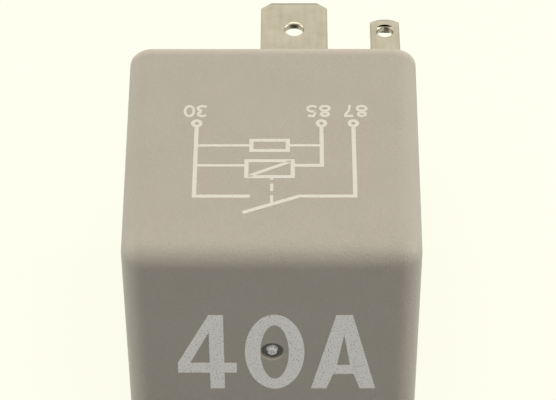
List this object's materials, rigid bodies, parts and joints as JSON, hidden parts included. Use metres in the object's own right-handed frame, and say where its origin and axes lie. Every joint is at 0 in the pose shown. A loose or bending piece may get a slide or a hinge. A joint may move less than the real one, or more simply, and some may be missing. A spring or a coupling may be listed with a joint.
{
  "type": "automotive relay",
  "caption": "Small square relay with a drafted plastic cover, flat plug-in blades and an electromagnet that pulls a sprung contact arm shut inside.",
  "frame": {"origin": "bottom centre of the box, under the cover's back wall, which it lies on", "axes": "+Y is the way it plugs in, from the closed end towards the blades' tips; +Z is out of the wall with the circuit diagram; +X is to the right seen from the closed end"},
  "size_m": [0.026, 0.0377, 0.025],
  "materials": {
    "cover_plastic": "fine moulded texture, satin",
    "base_plastic": "moulded",
    "tinned_brass": "stamped, tin plated",
    "bobbin_plastic": "moulded, natural",
    "enamelled_copper": "enamelled round wire",
    "plated_steel": "zinc plated",
    "spring_bronze": "rolled strip",
    "silver_contact": "satin silver alloy",
    "rivet_steel": "headed, zinc plated",
    "resistor_lacquer": "dipped lacquer",
    "lead_wire": "tinned wire",
    "solder": "reflowed, bright"
  },
  "bodies": {
    "mechanism": {"base": "base_plastic", "terminal_30": "tinned_brass", "terminal_87": "tinned_brass", "terminal_85": "tinned_brass", "bracket_30": "tinned_brass", "bracket_87": "tinned_brass", "bobbin": "bobbin_plastic", "coil_winding": "enamelled_copper", "core": "plated_steel", "yoke": "plated_steel", "fixed_contact": "silver_contact", "rest_stop": "tinned_brass", "yoke_rivet_left": "rivet_steel", "yoke_rivet_right": "rivet_steel", "coil_start_lead": "enamelled_copper", "coil_end_lead": "enamelled_copper", "resistor_body": "resistor_lacquer", "resistor_lead_upper": "lead_wire", "resistor_lead_lower": "lead_wire", "solder_85": "solder", "solder_30": "solder"},
    "armature_arm": {"armature": "plated_steel", "contact_spring": "spring_bronze", "moving_contact": "silver_contact", "armature_rivet_left": "rivet_steel", "armature_rivet_right": "rivet_steel"},
    "housing": {"cover": "cover_plastic"}
  },
  "joints": [
    {"name": "armature_hinge", "type": "hinge", "parent": "mechanism", "child": "armature_arm", "pos_m": [0, -0.01405, 0.003], "axis": [-1, 0, 0], "range_deg": [0, 2.5], "stiffness_Nm_per_rad": 0.05, "springref_deg": -5.73, "deforming": ["contact_spring"]},
    {"name": "cover_slide", "type": "slide", "parent": "mechanism", "child": "housing", "axis": [0, -1, 0], "range_m": [0, 0.03]}
  ]
}
